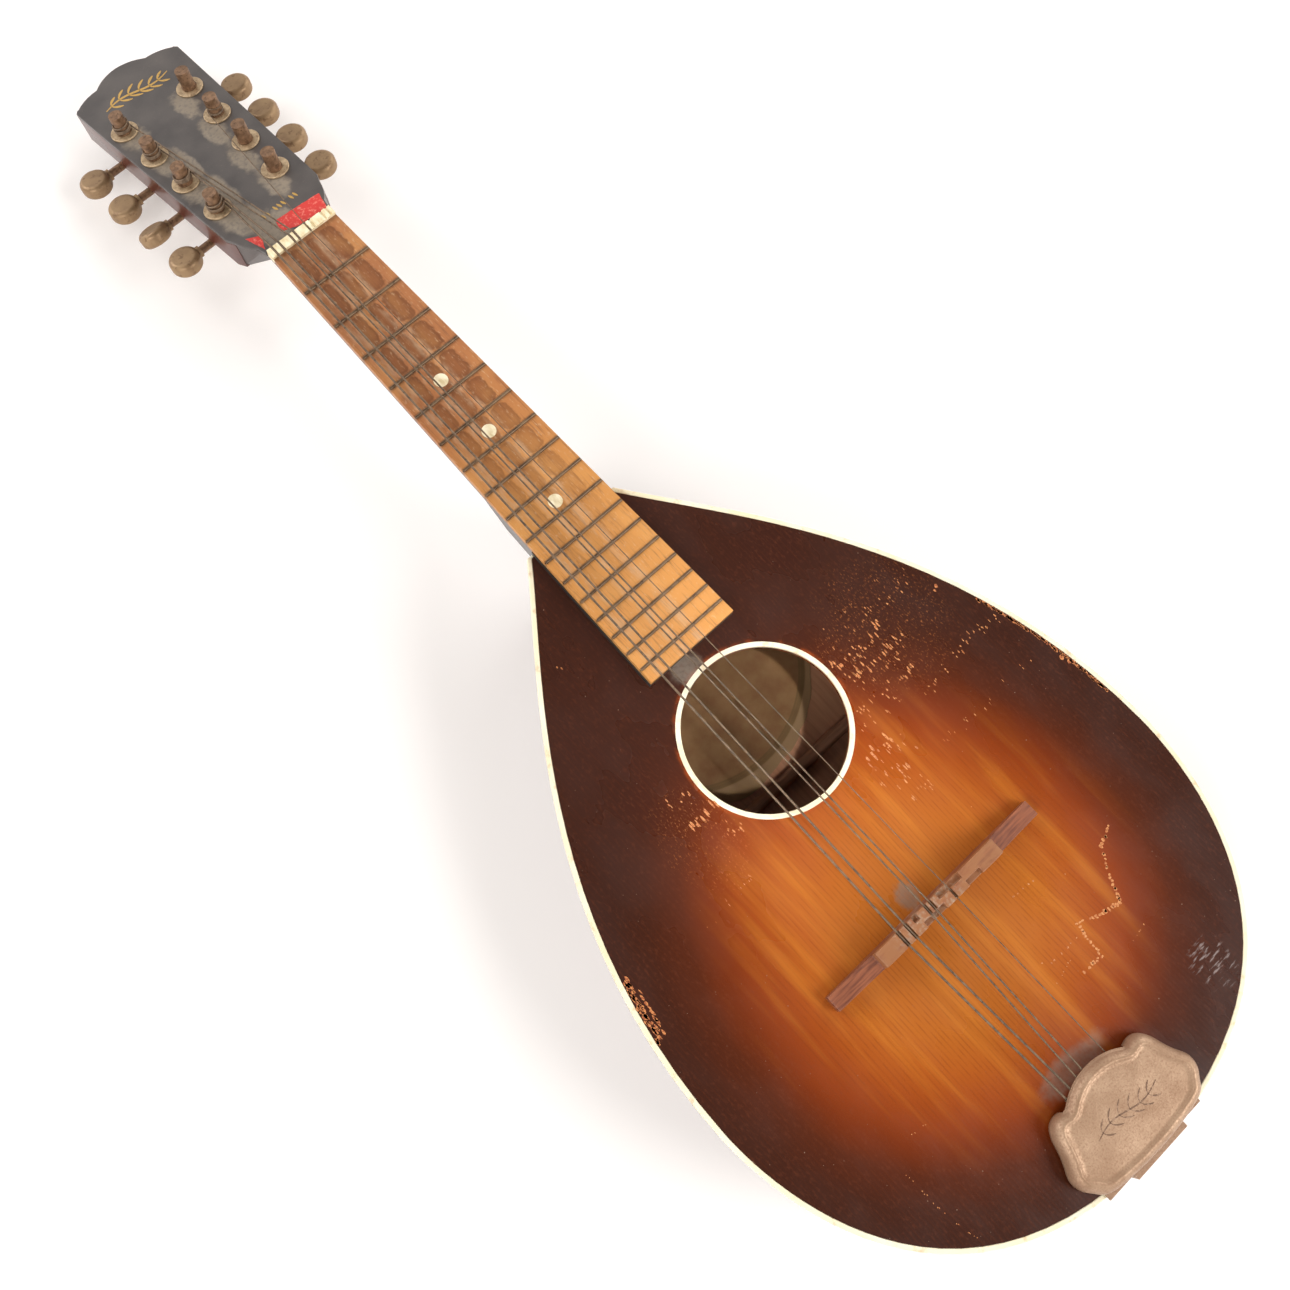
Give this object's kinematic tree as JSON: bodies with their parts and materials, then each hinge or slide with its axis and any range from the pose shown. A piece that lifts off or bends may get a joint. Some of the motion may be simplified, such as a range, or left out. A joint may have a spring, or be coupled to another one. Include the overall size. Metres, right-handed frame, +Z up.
{
  "type": "mandolin",
  "caption": "Teardrop flat-back mandolin lying on its back, with geared tuning buttons that turn the string posts, a movable bridge and a lift-off tailpiece cover.",
  "frame": {"origin": "on the surface it lies on, under the middle of its overall length and width", "axes": "+Y along the neck towards the tip of the head, +X across the strings towards the treble side, +Z up out of the soundboard"},
  "size_m": [0.223, 0.6092, 0.0679],
  "materials": {
    "soundboard_wood": "gloss varnish over a sunburst stain",
    "body_wood": "gloss varnish, dark brown",
    "inner_wood": "bare",
    "back_wood": "bare inside, dark varnish outside",
    "binding": "aged cream",
    "label_paper": "yellowed",
    "neck_wood": "dark varnish",
    "head_wood": "gloss varnish",
    "head_black": "satin black",
    "fretboard_wood": "worn, bare",
    "black_strip": "black stain",
    "fret_metal": "tarnished",
    "bone": "aged cream",
    "string_metal": "tarnished",
    "tuner_metal": "tarnished nickel over brass",
    "tail_metal": "worn warm nickel",
    "bridge_wood": "dark, worn"
  },
  "bodies": {
    "instrument": {"top": "soundboard_wood", "top_binding": "binding", "sound_hole_ring": "binding", "sides": "body_wood", "back": "back_wood", "back_binding": "body_wood", "linings": "inner_wood", "neck_block": "inner_wood", "tail_block": "inner_wood", "top_braces": "inner_wood", "back_braces": "inner_wood", "label": "label_paper", "neck": "neck_wood", "headstock": "head_wood", "head_veneer": "head_black", "fretboard": "fretboard_wood", "fretboard_riser": "black_strip", "frets": "fret_metal", "fret_dots": "bone", "nut": "bone", "tuner_plates": "tuner_metal", "tuner_screws": "tuner_metal", "ferrules": "tuner_metal", "tailpiece_base": "tail_metal", "tailpiece_screws": "tail_metal", "strings": "string_metal"},
    "bridge_block": {"bridge": "bridge_wood"},
    "cover_plate": {"tailpiece_cover": "tail_metal"},
    "tuner_shaft_b1": {"worm_b1": "tuner_metal", "button_b1": "tuner_metal"},
    "string_post_b1": {"post_b1": "tuner_metal", "gear_b1": "tuner_metal"},
    "tuner_shaft_b2": {"worm_b2": "tuner_metal", "button_b2": "tuner_metal"},
    "string_post_b2": {"post_b2": "tuner_metal", "gear_b2": "tuner_metal"},
    "tuner_shaft_b3": {"worm_b3": "tuner_metal", "button_b3": "tuner_metal"},
    "string_post_b3": {"post_b3": "tuner_metal", "gear_b3": "tuner_metal"},
    "tuner_shaft_b4": {"worm_b4": "tuner_metal", "button_b4": "tuner_metal"},
    "string_post_b4": {"post_b4": "tuner_metal", "gear_b4": "tuner_metal"},
    "tuner_shaft_t1": {"worm_t1": "tuner_metal", "button_t1": "tuner_metal"},
    "string_post_t1": {"post_t1": "tuner_metal", "gear_t1": "tuner_metal"},
    "tuner_shaft_t2": {"worm_t2": "tuner_metal", "button_t2": "tuner_metal"},
    "string_post_t2": {"post_t2": "tuner_metal", "gear_t2": "tuner_metal"},
    "tuner_shaft_t3": {"worm_t3": "tuner_metal", "button_t3": "tuner_metal"},
    "string_post_t3": {"post_t3": "tuner_metal", "gear_t3": "tuner_metal"},
    "tuner_shaft_t4": {"worm_t4": "tuner_metal", "button_t4": "tuner_metal"},
    "string_post_t4": {"post_t4": "tuner_metal", "gear_t4": "tuner_metal"}
  },
  "joints": [
    {"name": "turn_button_b1", "type": "hinge", "parent": "instrument", "child": "tuner_shaft_b1", "pos_m": [-0.01607, 0.20409, 0.03209], "axis": [-0.9993, -0.0352, 0.0101], "continuous": true},
    {"name": "turn_post_b1", "type": "hinge", "parent": "instrument", "child": "string_post_b1", "pos_m": [-0.0158, 0.20185, 0.05146], "axis": [0, 0.2756, 0.9613], "continuous": true},
    {"name": "turn_button_b2", "type": "hinge", "parent": "instrument", "child": "tuner_shaft_b2", "pos_m": [-0.01692, 0.22619, 0.02576], "axis": [-0.9993, -0.0352, 0.0101], "continuous": true},
    {"name": "turn_post_b2", "type": "hinge", "parent": "instrument", "child": "string_post_b2", "pos_m": [-0.01664, 0.22394, 0.04513], "axis": [0, 0.2756, 0.9613], "continuous": true},
    {"name": "turn_button_b3", "type": "hinge", "parent": "instrument", "child": "tuner_shaft_b3", "pos_m": [-0.01776, 0.24828, 0.01942], "axis": [-0.9993, -0.0352, 0.0101], "continuous": true},
    {"name": "turn_post_b3", "type": "hinge", "parent": "instrument", "child": "string_post_b3", "pos_m": [-0.01749, 0.24604, 0.03879], "axis": [0, 0.2756, 0.9613], "continuous": true},
    {"name": "turn_button_b4", "type": "hinge", "parent": "instrument", "child": "tuner_shaft_b4", "pos_m": [-0.0186, 0.27037, 0.01309], "axis": [-0.9993, -0.0352, 0.0101], "continuous": true},
    {"name": "turn_post_b4", "type": "hinge", "parent": "instrument", "child": "string_post_b4", "pos_m": [-0.01833, 0.26813, 0.03246], "axis": [0, 0.2756, 0.9613], "continuous": true},
    {"name": "turn_button_t1", "type": "hinge", "parent": "instrument", "child": "tuner_shaft_t1", "pos_m": [0.01367, 0.20409, 0.03209], "axis": [0.9993, -0.0352, 0.0101], "continuous": true},
    {"name": "turn_post_t1", "type": "hinge", "parent": "instrument", "child": "string_post_t1", "pos_m": [0.0134, 0.20185, 0.05146], "axis": [0, 0.2756, 0.9613], "continuous": true},
    {"name": "turn_button_t2", "type": "hinge", "parent": "instrument", "child": "tuner_shaft_t2", "pos_m": [0.01452, 0.22619, 0.02576], "axis": [0.9993, -0.0352, 0.0101], "continuous": true},
    {"name": "turn_post_t2", "type": "hinge", "parent": "instrument", "child": "string_post_t2", "pos_m": [0.01424, 0.22394, 0.04513], "axis": [0, 0.2756, 0.9613], "continuous": true},
    {"name": "turn_button_t3", "type": "hinge", "parent": "instrument", "child": "tuner_shaft_t3", "pos_m": [0.01536, 0.24828, 0.01942], "axis": [0.9993, -0.0352, 0.0101], "continuous": true},
    {"name": "turn_post_t3", "type": "hinge", "parent": "instrument", "child": "string_post_t3", "pos_m": [0.01509, 0.24604, 0.03879], "axis": [0, 0.2756, 0.9613], "continuous": true},
    {"name": "turn_button_t4", "type": "hinge", "parent": "instrument", "child": "tuner_shaft_t4", "pos_m": [0.0162, 0.27037, 0.01309], "axis": [0.9993, -0.0352, 0.0101], "continuous": true},
    {"name": "turn_post_t4", "type": "hinge", "parent": "instrument", "child": "string_post_t4", "pos_m": [0.01593, 0.26813, 0.03246], "axis": [0, 0.2756, 0.9613], "continuous": true},
    {"name": "move_bridge", "type": "slide", "parent": "instrument", "child": "bridge_block", "axis": [0, 1, 0], "range_m": [-0.002, 0.002]},
    {"name": "lift_cover", "type": "slide", "parent": "instrument", "child": "cover_plate", "axis": [0, 0, 1], "range_m": [0, 0.012]}
  ],
  "couplings": [
    {"joint": "turn_post_b1", "follows": "turn_button_b1", "ratio": -0.071429},
    {"joint": "turn_post_b2", "follows": "turn_button_b2", "ratio": -0.071429},
    {"joint": "turn_post_b3", "follows": "turn_button_b3", "ratio": -0.071429},
    {"joint": "turn_post_b4", "follows": "turn_button_b4", "ratio": -0.071429},
    {"joint": "turn_post_t1", "follows": "turn_button_t1", "ratio": -0.071429},
    {"joint": "turn_post_t2", "follows": "turn_button_t2", "ratio": -0.071429},
    {"joint": "turn_post_t3", "follows": "turn_button_t3", "ratio": -0.071429},
    {"joint": "turn_post_t4", "follows": "turn_button_t4", "ratio": -0.071429}
  ]
}
